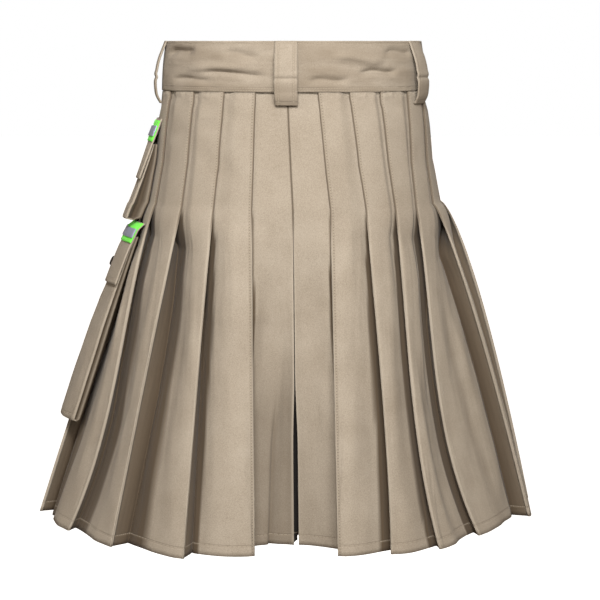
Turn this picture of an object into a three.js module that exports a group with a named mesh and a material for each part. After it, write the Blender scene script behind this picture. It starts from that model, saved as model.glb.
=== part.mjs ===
// Utility kilt: a pleated work kilt in cotton twill, filled out as if worn.
// Millimetres, +Z up. +Y is the back of the garment and +X the wearer's left.
// The origin is the centre of the waist ring at half the height of the waistband.
// Heights are worked as a drop: the distance down from the top of the waistband.
import * as THREE from 'three';

const BAND = 62;              // depth of the waistband
const HIP = 204;              // the pleats are stitched down to this drop
const LENGTH = 610;           // whole garment, waistband top to hem
const SEAM = 0.3;             // clear space between two pieces sewn together
const CLOTH = 1.1;            // one thickness of twill
const LAYER = 1.9;            // one layer of folded cloth to the next, middle to middle
const OPEN_LAYER = 3.2;       // the same once the pleats hang free below the hip
const BAND_CLOTH = 2.2;       // the band is folded double
const LAP = 2;                // a cut end under the apron over it, middle to middle
const FOLD = 30;              // cloth turned under at each pleat
const CENTRE_FOLD = 22;       // and at the two edges of the centre box pleat
const FOLD_CLEAR = 11;        // single cloth left between an inner fold and the next edge
const OPENS_OVER = 100;       // the pleats come open over this much drop below the hip
const OPEN_TURN = 1.9;        // widest turn of the cloth brought back to an edge, in radians
const CUT_END = 44;           // cloth carried past the apron's side at the front ends
const CUT_END_LEAST = 13;     // and the least of it that lies under the apron
const SLIT_TOP = 395;         // the centre-back seam is open below this drop
const SLIT = 4.6;             // width of that slit at the hem
const SEAM_OPEN = 0.9;        // the seam under the hip, where its two cloths bend apart

const TWILL = { color: 0xb5a68f, roughness: 0.9, metalness: 0 };
const LIME = { color: 0x7dea3c, roughness: 0.75, metalness: 0 };
const SILVER = { color: 0xa3a6b4, roughness: 0.45, metalness: 0.1 };
const SNAP = { color: 0x2b2620, roughness: 0.35, metalness: 0.8 };

// Body under the stitched part: a row per level, an ellipse for the back and one for the front.
const BODY = [
  { drop: 0, halfWidth: 162, back: 122, front: 122 },
  { drop: 62, halfWidth: 168, back: 125, front: 127 },
  { drop: 108, halfWidth: 174.5, back: 137, front: 131 },
  { drop: 150, halfWidth: 178.5, back: 148, front: 134 },
  { drop: HIP, halfWidth: 189, back: 160, front: 137 },
];

// The folded edges of one half, outward from the centre-back seam. waist and hip are
// distances round the body from the centre back; hemOut and hemBack place the edge at
// the hem; ease bends its fall between hip and hem (below 1 flares early, above 1 late);
// bow is how far the cloth from this edge to the next fold swells out at the hem.
const CENTRE = { waist: 7.7, hip: 0.7, hemOut: -3.3, hemBack: 198.5, ease: 1 };
const LEFT = [
  { waist: 47.1, hip: 51.5, hemOut: 46.6, hemBack: 246.1, ease: 1.0, bow: 3 },
  { waist: 87.7, hip: 101.9, hemOut: 130.7, hemBack: 259.4, ease: 1.0, bow: 5 },
  { waist: 132.7, hip: 151.7, hemOut: 222.7, hemBack: 205.4, ease: 1.0, bow: 4 },
  { waist: 181.7, hip: 212, hemOut: 284.2, hemBack: 127.5, ease: 0.95, bow: 5 },
  { waist: 222, hip: 256, hemOut: 332.7, hemBack: 27.1, ease: 0.9, bow: 0 },
  { waist: 262, hip: 299, hemOut: 322, hemBack: -60, ease: 0.88, bow: 0 },
  { waist: 299, hip: 343, hemOut: 266, hemBack: -131, ease: 0.88, bow: 0 },
  { waist: 335, hip: 386, hemOut: 195, hemBack: -160, ease: 0.9, bow: 0 },
  { waist: 401, hip: 459, hemOut: 98, hemBack: -172, ease: 0.9, bow: 0 },
];
const RIGHT = [
  { waist: 29.9, hip: 45.3, hemOut: 53.1, hemBack: 246.1, ease: 1.0, bow: 3 },
  { waist: 69.6, hip: 91.5, hemOut: 117.5, hemBack: 239.4, ease: 1.1, bow: 4 },
  { waist: 112, hip: 134.1, hemOut: 178, hemBack: 216.4, ease: 1.5, bow: 4 },
  { waist: 158.1, hip: 171.5, hemOut: 231.5, hemBack: 151.8, ease: 1.5, bow: 3 },
  { waist: 198, hip: 215.7, hemOut: 305.7, hemBack: 55.1, ease: 0.8, bow: 3 },
  { waist: 236, hip: 260, hemOut: 315.1, hemBack: -45.9, ease: 0.7, bow: 4 },
  { waist: 274, hip: 304, hemOut: 268, hemBack: -122, ease: 0.75, bow: 0 },
  { waist: 312, hip: 350, hemOut: 200, hemBack: -158, ease: 0.85, bow: 0 },
  { waist: 389, hip: 441, hemOut: 100, hemBack: -172, ease: 0.9, bow: 0 },
];
const FRONT = { waist: 467, hip: 532, hemOut: 2, hemBack: -175, ease: 0.9 };
const PLEATS = 7;                       // pleats on each half
const APRON = PLEATS + 1;               // the next edge is the side of the front apron
const CENTRE_BOW = { left: -20, right: -6 };  // the two cloths of the centre box pleat sag in
const BOW_EARLY = 1.3;                  // a bow is complete this many times before the hem

const PLEAT_DROPS = [
  BAND + SEAM, 108, 150, HIP, 214, 224, 240, 264, 298, 350, 405, 468, 538, LENGTH,
];

const mix = (a, b, t) => a + (b - a) * t;
const clamp = (v, low, high) => Math.min(high, Math.max(low, v));
const smooth = t => { const c = clamp(t, 0, 1); return c * c * (3 - 2 * c); };
const height = drop => BAND / 2 - drop;

// One column of a table of levels at a given drop, in straight lines between its rows.
function level(table, drop, column) {
  let i = 0;
  while (i < table.length - 2 && drop > table[i + 1].drop) i += 1;
  const t = clamp((drop - table[i].drop) / (table[i + 1].drop - table[i].drop), 0, 1);
  return mix(table[i][column], table[i + 1][column], t);
}

// The wearer's-left half of the body outline at a drop, centre back to centre front.
function halfBody(drop) {
  const steps = 96;
  const [width, back, front] = ['halfWidth', 'back', 'front'].map(c => level(BODY, drop, c));
  const points = [];
  const run = [0];
  for (let i = 0; i <= steps; i += 1) {
    const turn = Math.PI * i / steps;
    const depth = turn < Math.PI / 2 ? back : front;
    points.push(new THREE.Vector2(width * Math.sin(turn), depth * Math.cos(turn)));
    if (i) run.push(run[i - 1] + points[i].distanceTo(points[i - 1]));
  }
  const total = run[steps];
  return {
    total,
    at(distance) {
      const i = Math.max(1, run.findIndex(r => r >= Math.min(distance, total)));
      const t = (distance - run[i - 1]) / (run[i] - run[i - 1]);
      return points[i - 1].clone().lerp(points[i], t);
    },
  };
}

const WAIST_HALF = halfBody(BAND).total;
const HIP_HALF = halfBody(HIP).total;

// Where one folded edge stands in plan at a drop.
function edgePoint(edge, side, drop) {
  const body = halfBody(Math.min(drop, HIP));
  const t = clamp((drop - BAND) / (HIP - BAND), 0, 1);
  const share = mix(edge.waist / WAIST_HALF, edge.hip / HIP_HALF, t);
  const point = body.at(clamp(share, -1, 1) * body.total);
  point.x *= side;
  if (drop > HIP) {
    const fall = ((drop - HIP) / (LENGTH - HIP)) ** edge.ease;
    point.lerp(new THREE.Vector2(side * edge.hemOut, edge.hemBack), fall);
  }
  return point;
}

// All the folded edges at a drop, in order round the body. Between two rows of the
// pleated cloth they lie on straight lines, so what lies on the pleats follows them.
function edgesAt(drop) {
  const next = PLEAT_DROPS.findIndex(row => row > drop);
  if (next > 0 && PLEAT_DROPS[next - 1] !== drop) {
    const [above, below] = [PLEAT_DROPS[next - 1], PLEAT_DROPS[next]];
    const lower = edgesAt(below);
    return edgesAt(above).map((p, i) => p.lerp(lower[i], (drop - above) / (below - above)));
  }
  return [
    edgePoint(CENTRE, 1, drop),
    ...LEFT.map(e => edgePoint(e, 1, drop)),
    edgePoint(FRONT, 1, drop),
    ...RIGHT.map(e => edgePoint(e, -1, drop)).reverse(),
  ].map(p => new THREE.Vector3(p.x, p.y, 0));
}

// A smooth ring through all the folded edges at a drop. Distances on it start at the
// centre-back seam, plus to the wearer's left; depth is measured in from the ring.
const rings = new Map();
function ring(drop) {
  if (rings.has(drop)) return rings.get(drop);
  const knots = edgesAt(drop);
  const per = 12;
  const count = knots.length * per;
  const curve = new THREE.CatmullRomCurve3(knots, true, 'centripetal');
  const spots = Array.from({ length: count }, (_, i) => curve.getPoint(i / count));
  const run = [0];
  for (let i = 1; i <= count; i += 1) run.push(run[i - 1] + spots[i % count].distanceTo(spots[i - 1]));
  const total = run[count];
  const around = i => spots[(i + count) % count];
  const made = {
    total,
    mark(k) { return k < 0 ? run[count + k * per] - total : run[k * per]; },
    at(distance, depth) {
      const along = ((distance % total) + total) % total;
      let low = 0;
      let high = count;
      while (high - low > 1) {
        const middle = (low + high) >> 1;
        if (run[middle] <= along) low = middle; else high = middle;
      }
      const t = (along - run[low]) / (run[high] - run[low]);
      const point = around(low).clone().lerp(around(low + 1), t);
      const way = i => around(i + 1).clone().sub(around(i - 1)).normalize();
      const tangent = way(low).lerp(way(low + 1), t).normalize();
      return new THREE.Vector3(point.x + tangent.y * depth, point.y - tangent.x * depth, height(drop));
    },
  };
  rings.set(drop, made);
  return made;
}

// One mesh from corner points and triangles.
function solid(name, points, faces, look) {
  const geometry = new THREE.BufferGeometry();
  const numbers = points.flatMap(p => [p.x, p.y, p.z]);
  geometry.setAttribute('position', new THREE.Float32BufferAttribute(numbers, 3));
  geometry.setIndex(faces.flat());
  geometry.computeVertexNormals();
  const mesh = new THREE.Mesh(geometry, new THREE.MeshStandardMaterial(look));
  mesh.name = name;
  return mesh;
}

// A level row of points moved sideways in plan, keeping the cloth's thickness at its folds.
function shifted(row, distance, closed) {
  const last = row.length - 1;
  const outward = (a, b) => {
    const way = new THREE.Vector2(b.x - a.x, b.y - a.y).normalize();
    return new THREE.Vector2(-way.y, way.x);
  };
  return row.map((point, i) => {
    const before = i ? row[i - 1] : closed ? row[last] : null;
    const after = i < last ? row[i + 1] : closed ? row[0] : null;
    const one = before ? outward(before, point) : outward(point, after);
    const two = after ? outward(point, after) : one;
    const middle = one.clone().add(two).normalize();
    const reach = distance / Math.max(middle.dot(one), 0.4);
    return new THREE.Vector3(point.x + middle.x * reach, point.y + middle.y * reach, point.z);
  });
}

// Triangles between two rows of equal length, facing out when the rows run round the
// body from the centre back to the wearer's left and the second row is the lower one.
function between(a, b, columns, faces) {
  for (let j = 0; j < columns; j += 1) {
    faces.push([a[j], a[j + 1], b[j + 1]], [a[j], b[j + 1], b[j]]);
  }
}

// The same triangles facing in, so that the two faces of a twisted wall stay even.
function betweenInside(a, b, columns, faces) {
  for (let j = 0; j < columns; j += 1) {
    faces.push([a[j], b[j + 1], a[j + 1]], [a[j], b[j], b[j + 1]]);
  }
}

// A wall of cloth through level rows of middle points, top row first.
function cloth(name, rows, thickness, look) {
  const points = [];
  const number = row => row.map(p => points.push(p) - 1);
  const outer = rows.map(row => number(shifted(row, thickness / 2, false)));
  const inner = rows.map(row => number(shifted(row, -thickness / 2, false)));
  const faces = [];
  const columns = rows[0].length - 1;
  const bottom = rows.length - 1;
  for (let i = 0; i < bottom; i += 1) {
    between(outer[i], outer[i + 1], columns, faces);
    betweenInside(inner[i], inner[i + 1], columns, faces);
    between([inner[i][0], outer[i][0]], [inner[i + 1][0], outer[i + 1][0]], 1, faces);
    between([outer[i][columns], inner[i][columns]], [outer[i + 1][columns], inner[i + 1][columns]], 1, faces);
  }
  between(inner[0], outer[0], columns, faces);
  between(outer[bottom], inner[bottom], columns, faces);
  return solid(name, points, faces, look);
}

// How a panel runs from its edge to its inner fold. The cloth in a pleat has one length,
// so a wide space between two edges pulls the fold open: turn is the cloth brought back
// to the next edge, reach and sink place the inner fold past that edge and below it, and
// the panel lies on the ring for the length of flat before it slopes down to the fold.
function panelRun(pitch, space, turn, flat, least) {
  const [slope, gone] = [pitch + turn - flat, space - flat];
  const cosine = clamp((slope * slope - gone * gone - turn * turn) / (2 * gone * turn), least, 1);
  const angle = Math.acos(cosine);
  return { flat, angle, reach: turn * Math.cos(angle), sink: turn * Math.sin(angle) };
}

// The shortest flat that still carries the panel over the fold beneath its edge.
const PANEL_CLEAR = 2;         // a panel passes the end of the fold beneath it by this
const OVER_FOLD = 0.7;         // and has sunk there by this share of that fold's depth at most
function settledRun(pitch, space, turn, beneath, least) {
  const fits = flat => {
    const run = panelRun(pitch, space, turn, flat, least);
    const drops = (beneath.reach - flat) / (space + run.reach - flat) * run.sink;
    return beneath.reach <= flat || drops <= beneath.sink * OVER_FOLD;
  };
  let [short, long] = [0, Math.max(beneath.reach, 0) + PANEL_CLEAR];
  if (fits(short)) return panelRun(pitch, space, turn, short, least);
  for (let i = 0; i < 24; i += 1) {
    const middle = (short + long) / 2;
    if (fits(middle)) long = middle; else short = middle;
  }
  return panelRun(pitch, space, turn, long, least);
}

// One half of the pleated cloth at a drop: cloth from the centre-back seam, turned under
// and brought out again at each folded edge, to its end under the apron.
const EDGE_CLEAR = 3;          // a panel is down on its lower layer this far before an edge
const SUNK_BY = 0.82;          // or by this share of its run, where a fold is pulled open
function pleatRow(side, drop) {
  const line = ring(drop);
  const tight = drop < HIP ? line : ring(HIP);
  const table = side > 0 ? LEFT : RIGHT;
  const mark = (r, k) => Math.abs(r.mark(side * k));
  const pitchOf = k => mark(tight, k + 1) - mark(tight, k);
  const free = clamp((drop - HIP) / (LENGTH - HIP), 0, 1);
  const opened = smooth((drop - HIP) / OPENS_OVER);
  const layer = mix(LAYER, OPEN_LAYER, opened);
  const least = Math.cos(OPEN_TURN * opened);
  const seam = mix(SEAM, SEAM_OPEN, opened);
  const gap = mix(seam, SLIT, smooth((drop - SLIT_TOP) / (LENGTH - SLIT_TOP)));
  const path = [];
  let beneath = { reach: 0, sink: 0 };
  for (let k = 0; k <= PLEATS; k += 1) {
    const last = k === PLEATS;
    const start = k ? mark(line, k) : gap / 2;
    const space = mark(line, k + 1) - start;
    const fold = k ? FOLD : CENTRE_FOLD;
    const turn = last ? CUT_END : mix(Math.min(fold, pitchOf(k + 1) - FOLD_CLEAR), fold, opened);
    const run = last
      ? { flat: 0, reach: Math.max(CUT_END_LEAST, pitchOf(k) + turn - space), sink: 0 }
      : settledRun(pitchOf(k), space, turn, beneath, least);
    const inner = space + run.reach;
    const low = last ? LAP : 2 * layer;
    const settled = k ? Math.max(run.flat, beneath.reach + PANEL_CLEAR, PANEL_CLEAR) : space / 2;
    const sunk = Math.max(settled + PANEL_CLEAR, Math.min(space - EDGE_CLEAR, SUNK_BY * inner));
    const bow = k ? table[k - 1].bow : side > 0 ? CENTRE_BOW.left : CENTRE_BOW.right;
    const stops = [0, settled / 2, settled, sunk, (sunk + inner) / 2];
    if (last) stops.push(inner);
    for (const along of stops) {
      const share = clamp(along / space, 0, 1);
      const swell = bow * 4 * share * (1 - share) * smooth(free * BOW_EARLY);
      const laid = k ? (along > settled ? low : 0) : mix(2 * LAYER, low, share);
      const fall = Math.max(along - run.flat, 0) / (inner - run.flat) * run.sink;
      path.push({ along: start + along, depth: fall + laid - swell });
    }
    if (!last) {
      const aside = layer / 2 * Math.sin(run.angle / 2);
      const apart = layer / 2 * Math.cos(run.angle / 2);
      const middle = run.sink + 1.5 * layer;
      path.push({ along: start + inner - aside, depth: middle + apart });
      path.push({ along: start + inner + aside, depth: middle - apart });
      path.push({ along: start + space + run.reach / 2, depth: run.sink / 2 + layer });
      path.push({ along: start + space, depth: layer });
    }
    beneath = run;
  }
  const row = path.map(p => line.at(side * p.along, p.depth));
  return side > 0 ? row : row.reverse();
}

function pleats(name, side) {
  return cloth(name, PLEAT_DROPS.map(drop => pleatRow(side, drop)), CLOTH, TWILL);
}

// The front aprons: the over apron covers both cut ends of the pleated cloth; the under
// apron is sewn behind the wearer's-right end and stops short of the wearer's-left one.
const APRON_WAVE = { length: 130, depth: 5 };  // soft wave of both aprons at the hem
const UNDER_SHORT = 58;        // the under apron stops this far short of the wearer's-left side
const UNDER_BACK = 4;          // and its sewn side lies this far in from the other one
function apron(name, depth, startOf, endOf) {
  const columns = 18;
  const rows = PLEAT_DROPS.map(drop => {
    const line = ring(drop);
    const [start, end] = [startOf(line), endOf(line)];
    const free = clamp((drop - HIP) / (LENGTH - HIP), 0, 1);
    return Array.from({ length: columns + 1 }, (_, j) => {
      const along = mix(start, end, j / columns);
      const across = (along - line.mark(APRON + 2)) / APRON_WAVE.length;
      const fade = free * smooth(2 - 2 * Math.abs(across));
      return line.at(along, depth + APRON_WAVE.depth * fade * Math.sin(2 * Math.PI * across));
    });
  });
  return cloth(name, rows, CLOTH, TWILL);
}

const leftSide = line => line.mark(APRON);
const rightSide = line => line.total + line.mark(-APRON);

// The waistband: one folded strip that passes the front twice, its inner end first.
const BAND_DEPTH_IN = -0.35;         // middle of the band, in from the ring
const BAND_LAP = BAND_CLOTH + 0.4;   // inner turn to outer turn, middle to middle
const BAND_START = 40;               // inner end, past the wearer's-left side of the aprons
const BAND_END = 20;                 // outer end, past their wearer's-right side
const BAND_SETTLE = { after: 6, over: 50 };  // past the outer end the inner turn comes out
function waistband() {
  const count = 84;
  const rows = [0, 21, 42, BAND].map(drop => {
    const line = ring(drop);
    const start = leftSide(line) + BAND_START;
    const end = line.total + rightSide(line) + BAND_END;
    const outerEnd = end - line.total;
    return Array.from({ length: count + 1 }, (_, j) => {
      const along = mix(start, end, j / count);
      const settle = smooth((along - outerEnd - BAND_SETTLE.after) / BAND_SETTLE.over);
      return line.at(along, mix(BAND_DEPTH_IN + BAND_LAP, BAND_DEPTH_IN, settle));
    });
  });
  return cloth('waistband', rows, BAND_CLOTH, TWILL);
}

// A belt loop: a folded strip sewn at the band's top and below the waist seam, standing
// off between. place is its distance round the waist from the centre-back seam.
const LOOP_WIDTH = 27;
const LOOP_CLOTH = 1.8;
const LOOP_FORM = [
  { drop: 0, out: 2.7 },
  { drop: 8, out: 5.2 },
  { drop: 22, out: 9.4 },
  { drop: 40, out: 11.6 },
  { drop: 56, out: 11.4 },
  { drop: 70, out: 7.4 },
  { drop: 78, out: 1.9 },
];
function beltLoop(name, place) {
  const rows = LOOP_FORM.map(({ drop, out }) => {
    const line = ring(drop);
    const middle = place * line.total / ring(BAND).total;
    return [-0.5, 0, 0.5].map(t => line.at(middle + t * LOOP_WIDTH, -out));
  });
  return cloth(name, rows, LOOP_CLOTH, TWILL);
}

// The pockets on the wearer's left. Each has a bag, a flap, a tape with a bright strip
// on it and a snap. after is the middle of the pocket measured on from the fifth edge.
const SIDE_EDGE = 5;
const UPPER = {
  after: 49, width: 148,
  bag: [
    { drop: 130, out: 9 }, { drop: 140, out: 11 }, { drop: 150, out: 13.6 }, { drop: 173, out: 17.8 },
    { drop: 206, out: 24.5 }, { drop: 226, out: 23 },
  ],
  flap: [
    { drop: 98, out: 2.1 }, { drop: 108, out: 4.4 }, { drop: 127, out: 10.2 }, { drop: 150, out: 16.4 },
    { drop: 173, out: 20.6 },
  ],
  tape: { top: 100, bottom: 128 },
  snap: 155,
};
const LOWER = {
  after: 40, width: 164,
  bag: [
    { drop: 246, out: 7.2 }, { drop: 262, out: 9.2 }, { drop: 290, out: 10.2 }, { drop: 318, out: 11.4 },
    { drop: 360, out: 13.2 }, { drop: 430, out: 13.5 }, { drop: 480, out: 13 }, { drop: 496, out: 10 },
  ],
  flap: [
    { drop: 229, out: 2.4 }, { drop: 236, out: 8.2 }, { drop: 262, out: 11.8 }, { drop: 290, out: 13.2 },
    { drop: 318, out: 14 },
  ],
  tape: { top: 231, bottom: 259 },
  snap: 296,
};
const BAG_BACK = 3.0;          // middle of a bag's back cloth, out from the ring
const BAG_EDGE = 6;            // its outer cloth turns down towards this at the two sides
const BAG_CLOTH = 1.2;
const FLAP_CLOTH = 1.6;
const TAPE_CLOTH = 1;
const FLAP_OVER = 3;           // the flap is this much wider than the bag on each side

const pocketMiddle = (line, pocket) => line.mark(SIDE_EDGE) + pocket.after;

// A bag: back, sides, outer cloth and bottom in one wall, open at the top.
function bag(name, pocket) {
  const across = [-0.5, -0.45, -0.33, -0.21, -0.1, 0, 0.1, 0.21, 0.33, 0.45, 0.5];
  const points = [];
  const number = row => row.map(p => points.push(p) - 1);
  const loops = pocket.bag.map(({ drop, out }) => {
    const line = ring(drop);
    const middle = pocketMiddle(line, pocket);
    const edge = t => smooth(Math.abs(t) * 20 - 9) / 2;
    const outer = across.map(t => line.at(middle + t * pocket.width, -mix(out, BAG_EDGE, edge(t))));
    const back = across.map(t => line.at(middle + t * pocket.width, -BAG_BACK));
    return [...outer, ...back.reverse()];
  });
  const outside = loops.map(loop => number(shifted(loop, BAG_CLOTH / 2, true)));
  const inside = loops.map((loop, i) => number(shifted(loop, -BAG_CLOTH / 2, true).map(p => {
    if (i === loops.length - 1) p.z += BAG_CLOTH;
    return p;
  })));
  const faces = [];
  const around = row => [...row, row[0]];
  const count = loops[0].length;
  for (let i = 0; i < loops.length - 1; i += 1) {
    between(around(outside[i]), around(outside[i + 1]), count, faces);
    betweenInside(around(inside[i]), around(inside[i + 1]), count, faces);
  }
  between(around(inside[0]), around(outside[0]), count, faces);
  const half = across.length;
  const floor = (row, up) => {
    const front = row.slice(0, half);
    const rear = row.slice(half).reverse();
    if (up) between(rear, front, half - 1, faces); else between(front, rear, half - 1, faces);
  };
  floor(outside[loops.length - 1], false);
  floor(inside[loops.length - 1], true);
  return solid(name, points, faces, TWILL);
}

// Cloth across a pocket from one drop to another: the flap itself, or what is sewn on
// it, lifted clear of it.
function overFlap(name, pocket, top, bottom, lift, thickness, look) {
  const columns = 8;
  const width = pocket.width + 2 * FLAP_OVER;
  const drops = [top, ...pocket.flap.map(f => f.drop).filter(d => d > top + 1 && d < bottom - 1), bottom];
  const rows = drops.map(drop => {
    const line = ring(drop);
    const middle = pocketMiddle(line, pocket);
    const out = level(pocket.flap, drop, 'out') + lift;
    return Array.from({ length: columns + 1 }, (_, j) => line.at(middle + (j / columns - 0.5) * width, -out));
  });
  return cloth(name, rows, thickness, look);
}

// A snap cap standing on cloth: where its middle lies, and which way it faces.
const SNAP_RADIUS = 7;
const SNAP_TALL = 3;
const SNAP_PAST_SIDE = 2;      // the band's snaps, past the wearer's-right side of the aprons
function snap(name, foot, normal) {
  const geometry = new THREE.CylinderGeometry(SNAP_RADIUS * 0.8, SNAP_RADIUS, SNAP_TALL, 20);
  const turn = new THREE.Quaternion().setFromUnitVectors(new THREE.Vector3(0, 1, 0), normal);
  geometry.applyQuaternion(turn);
  const middle = foot.clone().addScaledVector(normal, SNAP_TALL / 2 + SEAM);
  geometry.translate(middle.x, middle.y, middle.z);
  const mesh = new THREE.Mesh(geometry, new THREE.MeshStandardMaterial(SNAP));
  mesh.name = name;
  return mesh;
}

// The spot on the outside of a strip of cloth and its outward direction there.
function outsideSpot(lineAt, drop, along, outAt, half) {
  const here = lineAt(drop).at(along(lineAt(drop)), -outAt(drop) - half);
  const lower = lineAt(drop + 4).at(along(lineAt(drop + 4)), -outAt(drop + 4) - half);
  const beside = lineAt(drop).at(along(lineAt(drop)) + 4, -outAt(drop) - half);
  const normal = beside.sub(here).cross(lower.sub(here)).normalize();
  return { here, normal };
}

function pocketSnap(name, pocket) {
  const { here, normal } = outsideSpot(
    ring, pocket.snap, line => pocketMiddle(line, pocket),
    drop => level(pocket.flap, drop, 'out'), FLAP_CLOTH / 2,
  );
  return snap(name, here, normal);
}

function bandSnap(name, drop) {
  const { here, normal } = outsideSpot(
    ring, drop, line => rightSide(line) + SNAP_PAST_SIDE, () => -BAND_DEPTH_IN, BAND_CLOTH / 2,
  );
  return snap(name, here, normal);
}

const TAPE_LIFT = 1.8;         // middle of the tape from the middle of the flap
const STRIP_LIFT = TAPE_LIFT + 1.5;
const TAPE_EDGE = 6.5;         // tape showing above and below its bright strip
function pocket(prefix, sizes) {
  const [first, last] = [sizes.flap[0].drop, sizes.flap[sizes.flap.length - 1].drop];
  const { top, bottom } = sizes.tape;
  return [
    bag(`${prefix}_pocket_bag`, sizes),
    overFlap(`${prefix}_pocket_flap`, sizes, first, last, 0, FLAP_CLOTH, TWILL),
    overFlap(`${prefix}_tape`, sizes, top, bottom, TAPE_LIFT, TAPE_CLOTH, LIME),
    overFlap(
      `${prefix}_tape_strip`, sizes, top + TAPE_EDGE, bottom - TAPE_EDGE, STRIP_LIFT, TAPE_CLOTH, SILVER,
    ),
    pocketSnap(`${prefix}_pocket_snap`, sizes),
  ];
}

const group = new THREE.Group();
group.name = 'utility_kilt';
group.add(
  waistband(),
  pleats('pleats_left', 1),
  pleats('pleats_right', -1),
  apron('over_apron', 0, leftSide, rightSide),
  apron('under_apron', 2 * LAP, line => leftSide(line) + UNDER_SHORT, line => rightSide(line) - UNDER_BACK),
  beltLoop('belt_loop_back', 1.5),
  beltLoop('belt_loop_left', 214),
  beltLoop('belt_loop_right', -188),
  ...pocket('upper', UPPER),
  ...pocket('lower', LOWER),
  bandSnap('band_snap_top', 18),
  bandSnap('band_snap_low', 44),
);

export default group;
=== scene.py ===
import math

import bpy
import numpy as np
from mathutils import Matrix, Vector


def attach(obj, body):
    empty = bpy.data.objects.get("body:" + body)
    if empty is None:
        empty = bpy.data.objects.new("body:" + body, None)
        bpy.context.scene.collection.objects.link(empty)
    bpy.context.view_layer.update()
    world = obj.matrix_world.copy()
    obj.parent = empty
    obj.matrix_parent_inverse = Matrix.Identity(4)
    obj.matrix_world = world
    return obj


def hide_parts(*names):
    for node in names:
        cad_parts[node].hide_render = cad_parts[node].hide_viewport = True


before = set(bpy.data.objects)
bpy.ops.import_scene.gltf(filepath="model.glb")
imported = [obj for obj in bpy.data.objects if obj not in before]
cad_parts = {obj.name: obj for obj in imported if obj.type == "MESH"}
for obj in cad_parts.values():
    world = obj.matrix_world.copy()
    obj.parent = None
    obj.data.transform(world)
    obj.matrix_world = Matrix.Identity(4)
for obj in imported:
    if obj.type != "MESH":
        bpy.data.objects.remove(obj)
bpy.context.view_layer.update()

# A pleated work kilt in khaki cotton twill, seen from the back and filled out as if worn.
# Metres; +Y is the back of the garment, +X the wearer's left, and the origin is the
# centre of the waist ring at half the height of the waistband.


# The studio: a camera level with the waist and tilted down, a white surround, three soft
# lights on the camera's side, one beyond the garment, and a pale floor well below.
scene = bpy.context.scene
scene.view_settings.view_transform = "Standard"
lens = bpy.data.cameras.new("camera")
lens.lens = 113.74
lens.sensor_width = 36
camera = bpy.data.objects.new("camera", lens)
camera.location = (-0.00775, 2.45, 0.031)
camera.rotation_euler = (math.radians(90 - 7.78), 0, math.pi)
scene.collection.objects.link(camera)
scene.camera = camera

# the surround is white to the camera and lights the cloth only faintly, as a large studio
world = bpy.data.worlds.new("white_surround")
world.use_nodes = True
nodes = world.node_tree.nodes
seen = nodes.new("ShaderNodeLightPath")
surround = nodes.new("ShaderNodeMix")
surround.data_type = "RGBA"
surround.inputs[6].default_value = (0.20, 0.155, 0.104, 1)
surround.inputs[7].default_value = (1, 1, 1, 1)
world.node_tree.links.new(seen.outputs["Is Camera Ray"], surround.inputs[0])
world.node_tree.links.new(surround.outputs[2], nodes["Background"].inputs["Color"])
nodes["Background"].inputs["Strength"].default_value = 1.0
scene.world = world


def soft_light(name, place, target, size, watts):
    lamp = bpy.data.lights.new(name, "AREA")
    lamp.shape = "DISK"
    lamp.size = size
    lamp.energy = watts
    made = bpy.data.objects.new(name, lamp)
    made.location = place
    made.rotation_euler = (Vector(target) - Vector(place)).to_track_quat("-Z", "Y").to_euler()
    scene.collection.objects.link(made)


soft_light("key_light", (0.14, 1.75, 1.15), (-0.05, 0.1, -0.16), 0.5, 48)
soft_light("fill_light", (-0.50, 2.1, 0.55), (-0.06, 0.1, -0.28), 0.9, 46)
soft_light("side_light", (1.7, 0.8, 0.4), (0.15, 0.05, -0.1), 0.6, 9)
soft_light("far_light", (-0.3, -3.2, 0.9), (0, 0, -0.2), 1.2, 90)

for each in bpy.context.selected_objects:
    each.select_set(False)
bpy.ops.mesh.primitive_plane_add(size=60, location=(0, 0, -1.6))
floor = bpy.context.active_object
floor.name = "floor"
paint = bpy.data.materials.new("pale_floor")
paint.use_nodes = True
painted = paint.node_tree.nodes["Principled BSDF"].inputs
painted["Base Color"].default_value = (0.9, 0.9, 0.9, 1)
painted["Emission Color"].default_value = (1, 1, 1, 1)
painted["Emission Strength"].default_value = 1.0
floor.data.materials.append(paint)
floor.visible_diffuse = floor.visible_glossy = floor.visible_shadow = False


# The pleated cloth: two halves of cotton twill, seamed at the centre back, folded into
# knife pleats that point away from a centre box pleat, stitched down to the hip and free
# below it. The tables give each folded edge at the waist, at the hip and at the hem.
BAND = 0.062            # depth of the waistband
HIP = 0.204             # the pleats are stitched down to this drop
LENGTH = 0.610          # waistband top to hem
HEM = 0.012             # the hem's stitching stands this far above its edge
# the centre seam above and below the hip, and the slit below it
SEAM, SEAM_OPEN, SLIT, SLIT_TOP, SLIT_OPENS_OVER = 0.0003, 0.0009, 0.0048, 0.395, 0.10
CLOTH = 0.0011
LAYER, OPEN_LAYER = 0.0014, 0.0032      # from one layer to the next, stitched and free
LAP = 0.002             # the cut end lies this far under the apron
FOLD, CENTRE_FOLD, FOLD_CLEAR, LEAST_REACH = 0.030, 0.022, 0.011, 0.006
OPENS_OVER, OPEN_TURN = 0.100, 1.9      # the folds open over this drop, by this angle
CUT_END, CUT_END_LEAST = 0.044, 0.013
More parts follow.
